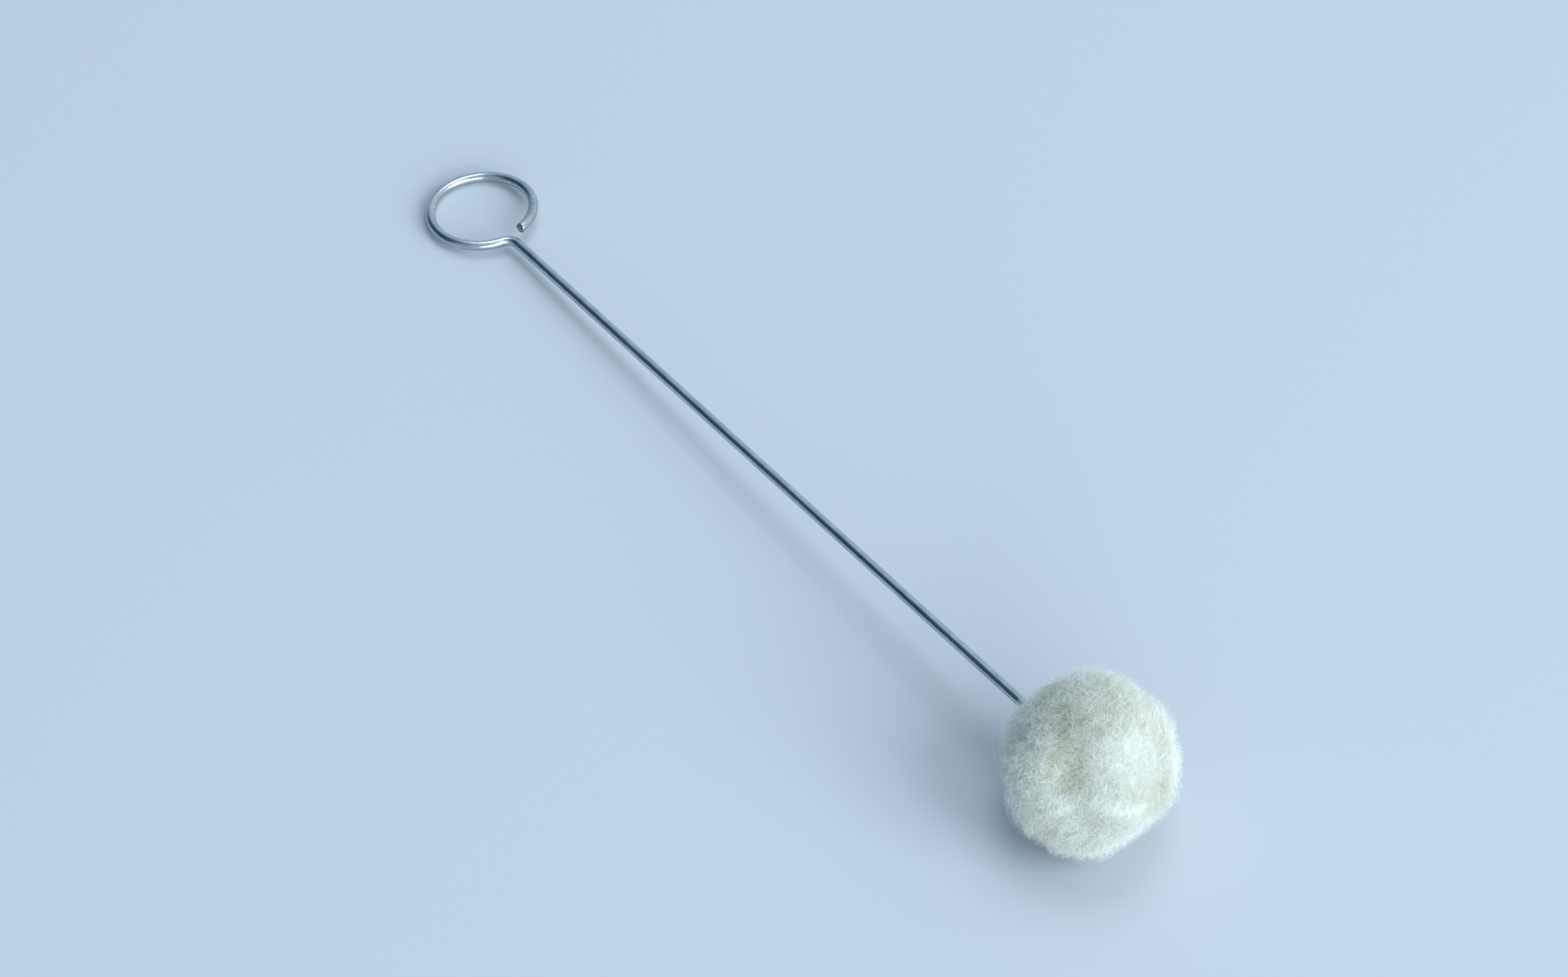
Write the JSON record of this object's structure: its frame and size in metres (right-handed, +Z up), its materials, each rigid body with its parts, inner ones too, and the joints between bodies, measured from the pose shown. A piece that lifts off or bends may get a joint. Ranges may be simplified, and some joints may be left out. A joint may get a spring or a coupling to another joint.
{
  "type": "wool-tipped wire applicator",
  "caption": "Straight steel wire handle with a round hanging eye at one end and a soft ball of cream wool pile at the other, for dabbing on dye, polish or paint.",
  "frame": {"origin": "middle of the part's box, on the surface it lies on", "axes": "+Z up from the surface it lies on, +X along the handle from the eye to the ball"},
  "size_m": [0.1114, 0.0162, 0.0156],
  "materials": {
    "steel_wire": "drawn and zinc bright, smooth, slightly cloudy",
    "wool": "dense cream wool pile, matt, fuzzy outline"
  },
  "bodies": {
    "root": {"wire_handle": "steel_wire", "wool_ball": "wool"}
  },
  "joints": []
}
